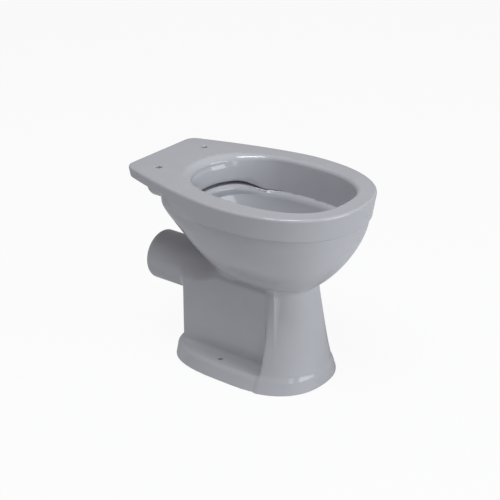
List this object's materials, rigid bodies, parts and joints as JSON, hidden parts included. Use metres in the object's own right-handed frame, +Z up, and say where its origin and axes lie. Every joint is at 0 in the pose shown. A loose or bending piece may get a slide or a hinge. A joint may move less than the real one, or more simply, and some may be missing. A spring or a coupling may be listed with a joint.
{
  "type": "rimless toilet pan",
  "caption": "Floor-standing rimless toilet pan with a D-shaped deck, open flush ledge, P-trap outlet spigot and recessed side fixings.",
  "frame": {"origin": "on the floor, midway between the nose and the rear edge of the deck, on the symmetry plane", "axes": "+Z up, +Y towards the wall (deck, flush inlet and outlet), -Y towards the nose, X across the pan"},
  "size_m": [0.3602, 0.5349, 0.435],
  "materials": {
    "glazed_china": "glossy fired glaze, pale grey"
  },
  "bodies": {
    "root": {"rim_and_deck": "glazed_china", "bowl_shell": "glazed_china", "flush_ledge": "glazed_china", "flush_chamber": "glazed_china", "inlet_horn": "glazed_china", "basin": "glazed_china", "throat": "glazed_china", "sump": "glazed_china", "rising_leg": "glazed_china", "trap_vault": "glazed_china", "outlet_spigot": "glazed_china", "column": "glazed_china", "side_panel_left": "glazed_china", "side_panel_right": "glazed_china", "rear_wall": "glazed_china", "toe": "glazed_china", "plinth": "glazed_china"}
  },
  "joints": []
}
